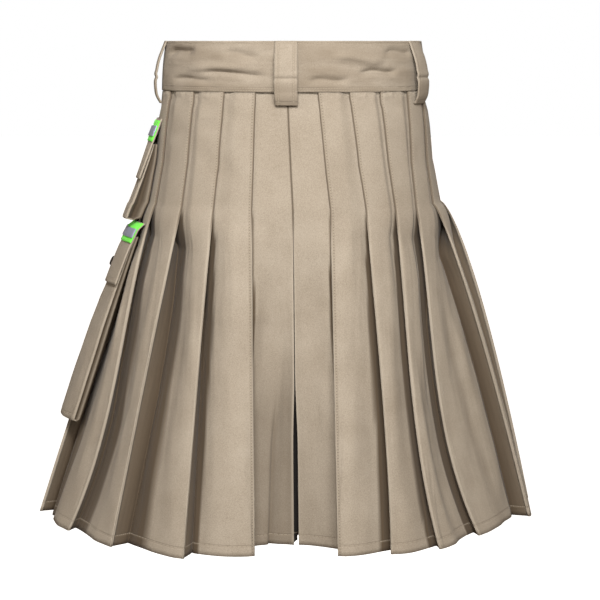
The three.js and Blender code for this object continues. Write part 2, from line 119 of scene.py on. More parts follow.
# at centre back the left half runs on beneath the right: how far, how much above the hem,
# how round its corner is, where it starts, and how deep it lies and tilts, stitched and free
CENTRE_LAP, LAP_SHORT, LAP_CORNER, LAP_STARTS, LAP_STEP = 0.016, 0.015, 0.005, 0.0004, 0.0014
LAP_SINK, LAP_SINK_OPEN, LAP_TILT, LAP_TILT_OPEN = 0.0034, 0.008, 0.003, 0.010
LATE = 1.25             # a free panel rolls under a little late in its width
SHUT_SINK = 0.30        # a fold that stays shut sinks by this share
PANEL_CLEAR, OVER_FOLD, EDGE_CLEAR, SUNK_BY = 0.002, 0.7, 0.003, 0.82
HANGS_UNEVEN = 0.0011
BELLY = 27 / 4          # makes a belly its full size two thirds of the way down
# the fold's painted shade: how soft its border is, how much a crease adds, its most, its start
SHADE_SOFT, CREASE_SHADE, CREASE_SHADE_MOST, SLIT_SHADE_FROM = 0.32, 90, 0.75, 0.36
PLEATS, APRON = 7, 8

# drop, half width, back and front of the body under the stitched part
BODY = np.array([
    (0, 162, 122, 122), (62, 168, 125, 127), (108, 174.5, 137, 131),
    (150, 178.5, 148, 134), (204, 189, 160, 137),
]) / 1000
# waist and hip: distance round from the centre back; hem: out and back; ease of the fall;
# bow: how far the panel swells, minus for inwards; shade: the share of it painted in the
# fold's shade when it hangs free; shut: 1 where the fold stays shut beneath the next edge,
# 0 where it falls open; belly: how far the edge hangs out of line two thirds down
LEFT = [
    (7.7, 0.7, -3.3, 198.5, 1.0, -20, 0.10, 0, 0),
    (47.1, 51.5, 46.6, 246.1, 1.0, 3, 0.22, 0.3, 0),
    (87.7, 101.9, 130.7, 259.4, 0.86, -1, 0.46, 0.4, 0),
    (132.7, 151.7, 222.7, 205.4, 0.94, -1, 0.30, 1, 0),
    (181.7, 212, 284.2, 127.5, 0.87, 3, 0.38, 0.8, -14),
    (222, 256, 332.7, 27.1, 0.9, 0, 0.90, 0.4, 0),
    (262, 299, 322, -60, 0.88, 0, 0.22, 0.3, 0),
    (299, 343, 266, -131, 0.88, 0, 0.20, 0.2, 0),
    (335, 386, 195, -160, 0.9, 0, 0, 0, 0),
    (401, 459, 98, -172, 0.9, 0, 0, 0, 0),
]
RIGHT = [
    (7.7, 0.7, -3.3, 198.5, 1.0, -6, 0.14, 0, 0),
    (29.9, 45.3, 53.1, 246.1, 1.0, 3, 0.16, 0.8, 0),
    (69.6, 91.5, 117.5, 239.4, 0.9, 2, 0.18, 1, 3),
    (112, 134.1, 178, 216.4, 1.0, 0, 0.10, 1, -9),
    (158.1, 171.5, 231.5, 151.8, 1.0, 1, 0.11, 0.5, -17),
    (198, 215.7, 305.7, 55.1, 0.8, 3, 0.95, 0, 0),
    (236, 260, 315.1, -45.9, 0.7, 4, 0.30, 0.2, 0),
    (274, 304, 268, -122, 0.75, 0, 0.22, 0.2, 0),
    (312, 350, 200, -158, 0.85, 0, 0, 0, 0),
    (389, 441, 100, -172, 0.9, 0, 0, 0, 0),
]
FRONT = (467, 532, 2, -175, 0.9, 0, 0, 0, 0)


def mix(a, b, t):
    return a + (b - a) * t


def smooth(t):
    t = np.clip(t, 0, 1)
    return t * t * (3 - 2 * t)


def run_along(points):
    """The distance run to each of a line of points."""
    return np.concatenate([[0], np.cumsum(np.linalg.norm(np.diff(points, axis=0), axis=1))])


def half_body(drop):
    """The left half of the body outline at a drop: points and the distance run to each."""
    width, back, front = (np.interp(drop, BODY[:, 0], BODY[:, i]) for i in (1, 2, 3))
    turn = np.linspace(0, math.pi, 97)
    depth = np.where(turn < math.pi / 2, back, front)
    points = np.stack([width * np.sin(turn), depth * np.cos(turn)], 1)
    return points, run_along(points)


WAIST_HALF, HIP_HALF = half_body(BAND)[1][-1], half_body(HIP)[1][-1]


def edge_point(edge, side, drop):
    waist, hip, out, back, ease = (v / 1000 for v in edge[:4] + (edge[4] * 1000,))
    points, run = half_body(min(drop, HIP))
    t = np.clip((drop - BAND) / (HIP - BAND), 0, 1)
    along = np.clip(mix(waist / WAIST_HALF, hip / HIP_HALF, t), -1, 1) * run[-1]
    spot = np.array([np.interp(along, run, points[:, i]) for i in (0, 1)])
    spot[0] *= side
    if drop > HIP:
        down = (drop - HIP) / (LENGTH - HIP)
        spot = mix(spot, np.array([side * out, back]), down ** ease)
        spot[0] += side * edge[8] / 1000 * BELLY * down ** 2 * (1 - down)
    return spot


class Ring:
    """A smooth closed line in plan through all the folded edges at one drop."""

    PER = 20

    def __init__(self, drop):
        self.drop = drop
        knots = [edge_point(e, 1, drop) for e in LEFT + [FRONT]]
        knots += [edge_point(e, -1, drop) for e in reversed(RIGHT[1:])]
        knots = np.array(knots)
        t = np.arange(self.PER)[:, None] / self.PER
        spots = []
        for i in range(len(knots)):
            p0, p1, p2, p3 = (knots[(i + j) % len(knots)] for j in (-1, 0, 1, 2))
            d0, d1, d2 = (max(np.linalg.norm(b - a), 1e-6) ** 0.5
                          for a, b in ((p0, p1), (p1, p2), (p2, p3)))
            m1 = ((p1 - p0) / d0 - (p2 - p0) / (d0 + d1) + (p2 - p1) / d1) * d1
            m2 = ((p2 - p1) / d1 - (p3 - p1) / (d1 + d2) + (p3 - p2) / d2) * d1
            spots.append(p1 + m1 * t + (3 * (p2 - p1) - 2 * m1 - m2) * t ** 2
                         + (2 * (p1 - p2) + m1 + m2) * t ** 3)
        spots = np.concatenate(spots)
        self.count = len(spots)
        self.run = run_along(np.concatenate([spots, spots[:1]]))
        self.total = self.run[-1]
        ways = np.roll(spots, -1, 0) - np.roll(spots, 1, 0)
        ways /= np.linalg.norm(ways, axis=1)[:, None]
        self.spots, self.ways = (np.concatenate([a, a[:1]]) for a in (spots, ways))

    def mark(self, k):
        """Distance to folded edge k, minus on the wearer's right."""
        if k < 0:
            return self.run[self.count + k * self.PER] - self.total
        return self.run[k * self.PER]

    def at(self, along, depth):
        along = np.mod(np.asarray(along, float), self.total)
        spot = np.stack([np.interp(along, self.run, self.spots[:, i]) for i in (0, 1)], -1)
        way = np.stack([np.interp(along, self.run, self.ways[:, i]) for i in (0, 1)], -1)
        way /= np.linalg.norm(way, axis=-1)[..., None]
        x = spot[..., 0] + way[..., 1] * depth
        y = spot[..., 1] - way[..., 0] * depth
        return np.stack([x, y, np.full_like(x, BAND / 2 - self.drop)], -1)


rings = {}


def ring(drop):
    key = round(float(drop), 6)
    if key not in rings:
        rings[key] = Ring(float(drop))
    return rings[key]


def panel_run(pitch, space, turn, flat, least):
    """How far past and below the next edge a panel's inner fold lies."""
    slope, gone = pitch + turn - flat, space - flat
    cosine = min(max((slope ** 2 - gone ** 2 - turn ** 2) / (2 * gone * turn), least), 1)
    angle = math.acos(cosine)
    return flat, angle, turn * math.cos(angle), turn * math.sin(angle)


def settled_run(pitch, space, turn, beneath, least):
    """The same with the shortest flat run that carries it over the fold beneath."""
    reach, sink = beneath

    def fits(flat):
        _, _, far, deep = panel_run(pitch, space, turn, flat, least)
        return reach <= flat or (reach - flat) / (space + far - flat) * deep <= sink * OVER_FOLD

    short, long = 0, max(reach, 0) + PANEL_CLEAR
    if fits(short):
        return panel_run(pitch, space, turn, short, least)
    for _ in range(24):
        middle = (short + long) / 2
        if fits(middle):
            long = middle
        else:
            short = middle
    return panel_run(pitch, space, turn, long, least)


# Soft creases pressed or hung into the panels, a row each: the panel, its place across from
# the panel's edge (0) to the next (1), how far it leans on the way down, the drops of its
# top and bottom, its width, and how deep it is, minus for a ridge.
CREASES = {
    1: [
        (0, 0.2, 0.01, 0.38, 0.72, 0.003, 0.0075),
        (4, 0.64, 0.02, 0.43, 0.72, 0.004, 0.008),
        (0, 0.75, -0.05, 0.25, 0.5, 0.01, 0.0012),
        (1, 0.55, 0.1, 0.22, 0.48, 0.012, 0.0012),
        (2, 0.35, 0.22, 0.24, 0.56, 0.011, 0.0018),
        (2, 0.8, -0.1, 0.36, 0.63, 0.01, -0.0014),
        (3, 0.3, 0.05, 0.22, 0.63, 0.009, -0.0022),
        (3, 0.62, 0.15, 0.3, 0.55, 0.01, 0.0016),
        (4, 0.24, 0.02, 0.21, 0.65, 0.006, -0.0024),
        (4, 0.6, 0.1, 0.26, 0.58, 0.012, 0.002),
        (5, 0.4, 0.12, 0.48, 0.66, 0.01, 0.002),
        (6, 0.5, 0.1, 0.28, 0.55, 0.012, 0.0018),
    ],
    -1: [
        (0, 0.55, 0.05, 0.24, 0.46, 0.012, 0.0012),
        (1, 0.45, 0.12, 0.3, 0.58, 0.012, 0.0014),
        (2, 0.4, 0.18, 0.28, 0.62, 0.011, 0.0018),
        (3, 0.35, 0.3, 0.34, 0.66, 0.009, 0.003),
        (3, 0.15, 0.28, 0.4, 0.66, 0.008, -0.002),
        (4, 0.3, 0.35, 0.26, 0.66, 0.009, 0.0034),
        (4, 0.6, 0.2, 0.3, 0.6, 0.01, -0.0024),
        (5, 0.35, 0.15, 0.22, 0.52, 0.01, 0.0024),
        (6, 0.45, 0.1, 0.3, 0.6, 0.012, 0.0018),
    ],
}


# Drag lines of the pressed cloth below the waist seam, a row each: where it starts and ends
# round from the centre back, plus to the wearer's left, its drop, how far it sinks on the
# way, its width, and how deep it is.
DRAGS = [
    (-0.068, -0.026, 0.067, 0.004, 0.0045, 0.002),
    (-0.116, -0.066, 0.078, -0.012, 0.0055, 0.0022),
    (-0.158, -0.108, 0.082, -0.01, 0.0055, 0.0026),
    (0.004, 0.052, 0.072, 0.003, 0.0045, 0.0014),
    (0.05, 0.09, 0.088, 0.005, 0.007, 0.0014),
    (0.084, 0.136, 0.08, -0.006, 0.0055, 0.0022),
    (0.082, 0.126, 0.103, 0.004, 0.007, 0.0018),
    (0.128, 0.184, 0.076, -0.008, 0.0055, 0.0024),
    (0.132, 0.18, 0.108, 0.012, 0.008, 0.002),
    (-0.11, -0.034, 0.146, 0.016, 0.011, 0.0014),
    (0.06, 0.13, 0.16, -0.018, 0.012, 0.0014),
    (0.02, 0.1, 0.215, 0.01, 0.01, 0.0012),
    (-0.12, -0.04, 0.222, -0.012, 0.01, 0.0014),
    (0.205, 0.3, 0.08, 0.01, 0.006, 0.002),
    (-0.3, -0.205, 0.084, -0.008, 0.006, 0.0022),
    (-0.35, -0.24, 0.13, 0.014, 0.01, 0.0018),
]
DRAG_WAVE = 0.0016


def drag_depth(table, around, drop):
    """How far the lines of a table push a point inwards."""
    total = np.zeros_like(around)
    for start, end, place, sink, width, hollow in table:
        t = (around - start) / (end - start)
        off = (drop - place - sink * t - DRAG_WAVE * np.sin(t * 7)) / width
        total += hollow * np.exp(-off ** 2) * smooth(3.5 * t) * smooth(3.5 * (1 - t))
    return total


def crease_depth(table, panel, share, space, drop):
    """How far the creases push a point of a panel inwards."""
    total = np.zeros_like(share)
    for on, across, lean, top, bottom, width, hollow in table:
        t = (drop - top) / (bottom - top)
        if on != panel or not 0 < t < 1:
            continue
        off = (share - across - lean * t) * space / width
        total += hollow * np.exp(-off ** 2) * smooth(3 * t) * smooth(3 * (1 - t))
    return total


def uneven(along, drop):
    """A slight unevenness of hanging cloth, in metres, the same on each run."""
    a, d = along * 2 * math.pi, drop * 2 * math.pi
    return 0.4 * np.sin(a / 0.083 + 2.1 * np.sin(d / 0.31)) + 0.35 * np.sin(
        a / 0.047 + d / 0.52 + 1.3) + 0.25 * np.sin(a / 0.131 - d / 0.17 + 0.6)


def pleat_row(side, drop):
    """One half at a drop: points, cloth run, distance past an edge, its stitching, painted shade.
    """
    line = ring(drop)
    tight = line if drop < HIP else ring(HIP)
    table = LEFT if side > 0 else RIGHT
    mark = [abs(line.mark(side * k)) for k in range(APRON + 1)]
    sewn = [abs(tight.mark(side * k)) for k in range(APRON + 1)]
    free = min(max((drop - HIP) / (LENGTH - HIP), 0), 1)
    opened = float(smooth((drop - HIP) / OPENS_OVER))
    layer = mix(LAYER, OPEN_LAYER, opened)
    least = math.cos(OPEN_TURN * opened)
    slit = float(smooth((drop - SLIT_TOP) / SLIT_OPENS_OVER))
    gap = mix(mix(SEAM, SEAM_OPEN, opened), SLIT, slit)
    alongs, depths, past, stitched, shades = [], [], [], [], []

    def put(along, depth, from_edge, down_to, shade=1.0):
        along = np.atleast_1d(along)
        shades.append(np.broadcast_to(shade, along.shape))
        alongs.append(along)
        depths.append(np.broadcast_to(depth, along.shape))
        past.append(np.broadcast_to(from_edge, along.shape))
        stitched.append(np.full(along.shape, down_to))

    beneath = (0, 0)
    for k in range(PLEATS + 1):
        last = k == PLEATS
        start = mark[k] if k else gap / 2 + (LAP_STARTS if side > 0 else 0)
        space, pitch = mark[k + 1] - start, sewn[k + 1] - sewn[k]
        fold = FOLD if k else CENTRE_FOLD
        if last:
            flat, angle, reach, sink = 0, 0, max(CUT_END_LEAST, pitch + CUT_END - space), 0
        else:
            turn = mix(min(fold, sewn[k + 2] - sewn[k + 1] - FOLD_CLEAR), fold, opened)
            flat, angle, reach, sink = settled_run(pitch, space, turn, beneath, least)
            shut = table[k][7] * opened
            reach = mix(reach, max(reach, LEAST_REACH), shut)
            sink = sink * mix(1, SHUT_SINK, shut)
        inner = space + reach
        low = LAP if last else 2 * layer
        settled = max(flat, beneath[0] + PANEL_CLEAR, PANEL_CLEAR) if k else space / 2
        sunk = max(settled + PANEL_CLEAR, min(space - EDGE_CLEAR, SUNK_BY * inner))
        end = inner if last else inner - layer
        along = np.concatenate([
            settled * np.linspace(0, 1, 8 if k else 22)[:-1],
            np.linspace(settled, sunk, 10)[:-1],
            np.linspace(sunk, end, 9),
        ])
        share = np.clip(along / space, 0, 1)
        swell = table[k][5] / 1000 * 4 * share * (1 - share) * float(smooth(free * 1.3))
        if k == 0 and side > 0:
            # the left half runs on past the centre, a step lower, beneath the right half
            lap = CENTRE_LAP * (1 - 0.9 * smooth((drop - LENGTH + LAP_SHORT) / LAP_CORNER))
            step = LAP_SINK + LAP_SINK_OPEN * float(smooth((drop - SLIT_TOP) / 0.06))
            tilt = LAP_TILT + LAP_TILT_OPEN * float(smooth(2 * free))
            t = np.linspace(1, 0, 7)
            # shade 2 paints this lap near black, as the shadow behind the slit
            put(start - LAP_STEP - t * lap, 2 * LAYER + step + t * tilt, 1, 0, 2)
            put(start - np.array([0.0005, 0.0001]), 2 * LAYER + step * np.array([0.9, 0.5]),
                1, 0, 2)
        if k:
            laid = low * smooth((along - settled) / (sunk - settled))
        else:
            laid = mix(2 * LAYER, low, share)
        fall = sink * (np.maximum(along - flat, 0) / (inner - flat)) ** mix(1, LATE, opened)
        hollow = crease_depth(CREASES[side], k, along / space, space, drop)
        depth = fall + laid - swell + hollow
        depth = depth + uneven(start + along, drop) * HANGS_UNEVEN * float(
            smooth(free * 2.5)) * (smooth(6 * share) * smooth(6 * (1 - share)))
        down_to = 0 if k == 0 else LENGTH if k == 1 else HIP
        # painted shade: the share of a free panel next to the next folded edge, the hollows of
        # its creases, and the centre panels low down
        wide = table[k][6] * mix(0.2, 1, float(smooth((drop - HIP) / 0.150)))
        shade = smooth((along / space - 1 + wide) / (SHADE_SOFT * wide + 1e-6))
        shade = np.maximum(shade, np.clip(hollow * CREASE_SHADE, 0, CREASE_SHADE_MOST))
        if k == 0:
            least_shade = 0.42 if side > 0 else 0.12
            shade = np.maximum(
                shade, least_shade * float(smooth((drop - SLIT_SHADE_FROM) / 0.12)))
        put(start + along, depth, along, down_to, shade)
        if not last:
            aside, apart = layer / 2 * math.sin(angle / 2), layer / 2 * math.cos(angle / 2)
            middle = sink + 1.5 * layer
            turn_by = np.linspace(0, math.pi, 6)[1:-1]
            first = np.array([inner - aside, middle + apart])
            second = np.array([inner + aside, middle - apart])
            centre, arm = (first + second) / 2, (first - second) / 2
            across = np.array([arm[1], -arm[0]])
            # the inner fold is painted in full shade, the return layer less towards the next
            # folded edge, and that edge's own turn not at all
            put(start + first[0], first[1], 1, 0)
            for a in turn_by:
                spot = centre + arm * math.cos(a) + across * math.sin(a) * 0.9
                put(start + spot[0], spot[1], 1, 0)
            put(start + second[0], second[1], 1, 0)
            t = np.linspace(0, 1, 7)[1:-1]
            put(start + mix(inner + aside, space + layer / 2, t),
                mix(middle - apart, layer, t), 1, 0, 1 - 0.2 * t)
            put(start + space + layer / 2, layer, 1, 0, 0.6)
            for a in turn_by:
                put(start + space + layer / 2 * (1 - math.sin(a)), layer / 2 * (1 + math.cos(a)),
                    layer / 2 * (1 - math.sin(a)), 0, 0)
        beneath = (reach, sink)
    along, depth, past, stitched, fold_shade = (
        np.concatenate(x) for x in (alongs, depths, past, stitched, shades))
    fold_shade = fold_shade * float(smooth((drop - HIP + 0.004) / 0.02))
    depth = depth + drag_depth(DRAGS, side * along, drop) * float(smooth((drop - BAND) / 0.006))
    points = line.at(side * along, depth)
    run = run_along(points)
    if side < 0:
        return [a[::-1] for a in (points, run, past, stitched, fold_shade)]
    return points, run, past, stitched, fold_shade


def shell(name, middle, thickness, maps):
    """A closed wall of cloth on rows of middle points, the top row first, with UV maps."""
    rows, columns = middle.shape[:2]
    across = np.gradient(middle, axis=1)
    down = np.gradient(middle, axis=0)
    normal = np.cross(across, -down)
    normal /= np.maximum(np.linalg.norm(normal, axis=2), 1e-12)[..., None]
    vertices = np.concatenate([
        (middle - normal * thickness / 2).reshape(-1, 3),
        (middle + normal * thickness / 2).reshape(-1, 3)])
    number = np.arange(rows * columns).reshape(rows, columns)
    quad = np.stack([number[:-1, :-1], number[:-1, 1:], number[1:, 1:], number[1:, :-1]], -1)
    quad = quad.reshape(-1, 4)
    back = rows * columns
    rim = np.concatenate([number[0], number[1:, -1], number[-1, -2::-1], number[-2:0:-1, 0]])
    follow = np.roll(rim, -1)
    edge = np.stack([rim, rim + back, follow + back, follow], -1)
    faces = np.concatenate([quad, quad[:, ::-1] + back, edge])
    mesh = bpy.data.meshes.new(name)
    mesh.from_pydata(vertices.tolist(), [], faces.tolist())
    corner = np.empty(len(mesh.loops), np.int32)
    mesh.loops.foreach_get("vertex_index", corner)
    for title, (u, v) in maps.items():
        layer = mesh.uv_layers.new(name=title)
        both = np.stack([np.tile(np.asarray(a).ravel(), 2) for a in (u, v)], 1)
        layer.uv.foreach_set("vector", both[corner].astype(np.float32).ravel())
    mesh.shade_smooth()
    mesh.update()
    piece = bpy.data.objects.new(name, mesh)
    scene.collection.objects.link(piece)
    return piece


class Term:
    """A shader socket that takes part in sums: each operator adds a Math node."""

    def __init__(self, tree, socket=None):
        self.tree, self.socket = tree, socket

    def node(self, kind, settings=None, inputs=None, output=0):
        made = self.tree.nodes.new(kind)
        for key, value in (settings or {}).items():
            setattr(made, key, value)
        for key, value in (inputs or {}).items():
            if isinstance(value, Term):
                self.tree.links.new(value.socket, made.inputs[key])
            else:
                made.inputs[key].default_value = value
        return Term(self.tree, made.outputs[output] if made.outputs else None)

    def math(self, operation, *others):
        inputs = {i: v for i, v in enumerate((self, *others))}
        return self.node("ShaderNodeMath", {"operation": operation}, inputs)

    def __add__(self, other): return self.math("ADD", other)
    def __radd__(self, other): return self.math("ADD", other)
    def __sub__(self, other): return self.math("SUBTRACT", other)
    def __mul__(self, other): return self.math("MULTIPLY", other)
    def __rmul__(self, other): return self.math("MULTIPLY", other)
    def __truediv__(self, other): return self.math("DIVIDE", other)
    def __abs__(self): return self.math("ABSOLUTE")

    def __rsub__(self, other):
        return self.node("ShaderNodeMath", {"operation": "SUBTRACT"}, {0: other, 1: self})

    def clamped(self):
        return self.math("MAXIMUM", 0.0).math("MINIMUM", 1.0)

    def uv(self, title):
        """The two coordinates of one of the piece's UV maps."""
        split = self.node("ShaderNodeSeparateXYZ", {}, {
            0: self.node("ShaderNodeUVMap", {"uv_map": title})})
        return split, Term(self.tree, split.socket.node.outputs[1])

    def ramp(self, low, high, start=0.0, stop=1.0):
        """Smoothly from start at low to stop at high, and level beyond both."""
        return self.node("ShaderNodeMapRange", {"interpolation_type": "SMOOTHSTEP"}, {
            "Value": self, "From Min": low, "From Max": high, "To Min": start, "To Max": stop})

    def noise(self, scale, detail=2.0, roughness=0.5):
        """Noise on this vector, from 0 to 1."""
        return self.node("ShaderNodeTexNoise", {}, {
            "Vector": self, "Scale": scale, "Detail": detail, "Roughness": roughness})

    def blend(self, one, two):
        """Colour one where this is 0, colour two where it is 1."""
        return self.node("ShaderNodeMix", {"data_type": "RGBA"}, {0: self, 6: one, 7: two}, 2)


# one stitch, how high its thread stands, how far a topstitch is from a folded edge, and a
# hem's or a bag's from its side
STITCH, THREAD_HIGH, TOPSTITCH, SEWN_IN = 0.0034, 0.00022, 0.0028, 0.006


def seam_stitches(off, along, reach, pitch=STITCH):
    """A row of thread at off = 0 in the length of along: the thread, and the dent it pulls."""
    near = abs(off).ramp(0.0002, 0.0005, 1, 0)
    dash = abs((along / pitch).math("FRACT") - 0.5).ramp(0.32, 0.42, 1, 0)
    return near * dash * reach, abs(off).ramp(0.0004, 0.0020, 1, 0) * reach


def start_material(name):
    material = bpy.data.materials.new(name)
    material.use_nodes = True
    tree = material.node_tree
    tree.nodes.clear()
    return material, Term(tree)


def finish_material(begin, colour, height, roughness=0.88, sheen=0.06, metallic=0.0,
                    specular=0.25):
    normal = begin.node("ShaderNodeBump", {}, {
        "Height": height, "Distance": 1.0, "Strength": 1.0})
    surface = begin.node("ShaderNodeBsdfPrincipled", {}, {
        "Base Color": colour, "Roughness": roughness, "Normal": normal, "Metallic": metallic,
        "Sheen Weight": sheen, "Sheen Roughness": 0.5, "Specular IOR Level": specular})
    begin.node("ShaderNodeOutputMaterial", {}, {"Surface": surface})


KHAKI_LIGHT = (0.345, 0.298, 0.238, 1)
KHAKI_DEEP = (0.175, 0.137, 0.096, 1)
PAINTED_FOLD_SHADE = (0.068, 0.047, 0.028, 1)     # painted shade: deep in the folds, along stitched edges, in stitch holes and inside the pocket bags
PAINTED_SLIT_SHADOW = (0.008, 0.006, 0.005, 1)  # painted shadow behind the centre slit
THREAD = (0.33, 0.28, 0.215, 1)


def twill_weave(begin, u, v, place):
    """Height and lightness of a cotton twill: slanting ribs broken by the threads over them."""
    slant = (u * 0.82 + v * 0.57) * (2 * math.pi / 0.00105)
    rib = slant.math("SINE")
    thread = (u * (2 * math.pi / 0.0007)).math("SINE") * (v * (2 * math.pi / 0.0009)).math("SINE")
    height = (rib * 0.6 + thread * 0.4) * 0.00005
    flecks = place.noise(900, 1) - 0.5
    mottle = place.noise(26, 3) - 0.5
    wash = place.noise(5.5, 2) - 0.5
    light = 0.5 + flecks * 0.9 + mottle * 0.5 + wash * 0.35 + rib * 0.05
    return height, light.clamped()


def twill(name, make):
    """Khaki twill with what make adds to its height and lightness from the piece's own maps."""
    material, begin = start_material(name)
    u, v = begin.uv("cloth")
    place = begin.node("ShaderNodeTexCoord", {}, {}, 3)
    height, light = twill_weave(begin, u, v, place)
    colour = light.blend(KHAKI_DEEP, KHAKI_LIGHT)
    height, colour = make(begin, u, v, place, height, colour)
    finish_material(begin, colour, height)
    return material


def pleat_finish(begin, u, v, place, height, colour):
    past, down_to = begin.uv("edge")
    reach = (down_to - v).ramp(-0.001, 0.001)
    thread, dent = seam_stitches(past - TOPSTITCH, v, reach)
    hem_thread, hem_dent = seam_stitches(v - (LENGTH - HEM), u, 1.0)
    thread, dent = thread + hem_thread, dent + hem_dent
    pucker = (place.noise(160, 1) - 0.5) * dent
    height = height + thread * THREAD_HIGH - dent * 0.00030 + pucker * 0.0006
    gathered = (place.noise(95, 1) - 0.5) * (v - BAND).ramp(0.002, 0.016, 1, 0)
    hanging = begin.node("ShaderNodeCombineXYZ", {}, {0: u, 1: v * 0.14}).noise(40, 2) - 0.5
    height = height + gathered * 0.0034 + hanging * (v - HIP).ramp(-0.03, 0.06) * 0.0040
    # the fold map holds painted shade: up to 1 the cloth is painted in the folds' shade, past it
    # near black as the shadow behind the slit
    fold_shade, _ = begin.uv("fold")
    colour = fold_shade.math("MINIMUM", 1.0).blend(colour, PAINTED_FOLD_SHADE)
    colour = fold_shade.ramp(1.1, 1.8).blend(colour, PAINTED_SLIT_SHADOW)
    loose = (v - HIP).ramp(0.0, 0.05)
    # a pale line along each free folded edge: painted highlight
    wear_and_highlight = past.ramp(0.0, 0.0020, 1, 0) * loose * 0.5
    colour = wear_and_highlight.blend(colour, KHAKI_LIGHT)
    # a dark line along each stitched folded edge: painted shadow
    edge_shadow = past.ramp(0.0002, 0.0017, 1, 0) * (1 - loose) * 0.75
    colour = edge_shadow.blend(colour, PAINTED_FOLD_SHADE)
    # darker in the stitches' dents, and the stitch holes darker still: painted shade
    colour = (dent * 0.30).blend(colour, KHAKI_DEEP)
    between = abs((v / STITCH).math("FRACT") - 0.5).ramp(0.30, 0.40)
    hole = abs(past - TOPSTITCH).ramp(0.0004, 0.0010, 1, 0) * between
    colour = (hole * reach * 0.5).blend(colour, PAINTED_FOLD_SHADE)
    colour = (thread * 0.6).blend(colour, THREAD)
    return height, colour


pleat_twill = twill("pleated_twill", pleat_finish)
CLOSE_TO = 0.300        # the rows lie closest from the hip to here, where the folds open
PLEAT_DROPS = np.concatenate([
    np.linspace(BAND + SEAM, HIP, 22), np.linspace(HIP, CLOSE_TO, 26)[1:],
    np.linspace(CLOSE_TO, LENGTH, 55)[1:]])


def declare(piece, node):
    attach(piece, "root")
    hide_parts(node)


def declare_cloth(piece, node, look):
    """Give a piece of cloth its material, hang it on the root body and hide the model part it
    stands for.
    """
    piece.data.materials.append(look)
    declare(piece, node)


for side, name in ((1, "pleats_left"), (-1, "pleats_right")):
    rows = [pleat_row(side, float(d)) for d in PLEAT_DROPS]
    middle, run, past, stitched, fold_shade = (np.array([row[i] for row in rows]) for i in range(5))
    drops = np.broadcast_to(PLEAT_DROPS[:, None], run.shape)
    piece = shell("cloth_" + name, middle, CLOTH, {
        "cloth": (np.broadcast_to(run.mean(0), run.shape), drops), "edge": (past, stitched),
        "fold": (fold_shade, fold_shade)})
    declare_cloth(piece, name, pleat_twill)


# The two front aprons: flat twill panels over each other and over the cut ends of the
# pleated cloth, hemmed like it. The over apron is topstitched down both sides.
APRON_WAVE, APRON_WAVE_DEEP = 0.130, 0.005
UNDER_SHORT, UNDER_BACK = 0.058, 0.004
APRON_UNEVEN = 0.0009
TOWARDS, AWAY = 0.0006, 0.003   # the most that a crease brings an apron to the other, and from it


def apron_finish(begin, u, v, place, height, colour):
    from_edge, _ = begin.uv("edge")
    thread, dent = seam_stitches(from_edge - SEWN_IN, v, 1.0)
    hem_thread, hem_dent = seam_stitches(v - (LENGTH - HEM), u, 1.0)
    thread, dent = thread + hem_thread, dent + hem_dent
    pucker = (place.noise(160, 1) - 0.5) * dent
    height = height + thread * THREAD_HIGH - dent * 0.00028 + pucker * 0.0005
    # darker in the stitches' dents: painted shade
    colour = (dent * 0.28).blend(colour, KHAKI_DEEP)
    return height, (thread * 0.6).blend(colour, THREAD)


apron_twill = twill("apron_twill", apron_finish)
# rows like those of CREASES, with the whole apron as one panel
APRON_CREASES = [
    (0, 0.22, 0.05, 0.21, 0.56, 0.016, 0.0022),
    (0, 0.41, -0.04, 0.3, 0.64, 0.019, -0.0024),
    (0, 0.63, 0.05, 0.19, 0.5, 0.015, 0.0018),
    (0, 0.83, 0.03, 0.27, 0.66, 0.017, 0.0026),
]


def left_side(line):
    return line.mark(APRON)


def right_side(line):
    return line.total + line.mark(-APRON)


for name, depth, from_left, from_right in (
    ("over_apron", 0, 0, 0), ("under_apron", 2 * LAP, UNDER_SHORT, UNDER_BACK),
):
    middle, runs, sides = [], [], []
    for drop in PLEAT_DROPS:
        line = ring(drop)
        start, end = left_side(line) + from_left, right_side(line) - from_right
        along = np.linspace(start, end, 97)
        free = min(max((drop - HIP) / (LENGTH - HIP), 0), 1)
        across = (along - line.mark(APRON + 2)) / APRON_WAVE
        fade = free * smooth(2 - 2 * abs(across))
        inside = smooth((along - start) / 0.03) * smooth((end - along) / 0.03)
        share = (along - start) / (end - start)
        soft = crease_depth(APRON_CREASES, 0, share, end - start, float(drop))
        soft = (soft + uneven(along, drop) * APRON_UNEVEN * float(smooth(free * 2))) * inside
        if name == "under_apron":
            soft = np.clip(soft, -TOWARDS, AWAY)
        else:
            soft = np.clip(soft, -AWAY, TOWARDS)
        wave = APRON_WAVE_DEEP * fade * np.sin(2 * math.pi * across)
        middle.append(line.at(along, depth + wave + soft))
        runs.append(along - start)
        sides.append(np.minimum(along - start, end - along))
    middle = np.array(middle)
    drops = np.broadcast_to(PLEAT_DROPS[:, None], middle.shape[:2])
    piece = shell("cloth_" + name, middle, CLOTH, {
        "cloth": (runs, drops), "edge": (sides, drops)})
    declare_cloth(piece, name, apron_twill)


# The waistband: one strip of twill folded double, that passes the front twice and closes
# on the wearer's right. It is stitched along its top edge and twice along the waist seam.
BAND_CLOTH = 0.0022
BAND_IN, BAND_LAP = -0.00035, 0.0026
BAND_START, BAND_END = 0.040, 0.020
BAND_STITCHES = (0.0030, 0.0572, 0.0600)
BAND_BULGE, BAND_UNEVEN = 0.0012, 0.0004
LAP_GAP, LAP_EASE = 0.006, 0.050    # where the lap comes down onto the layer beneath


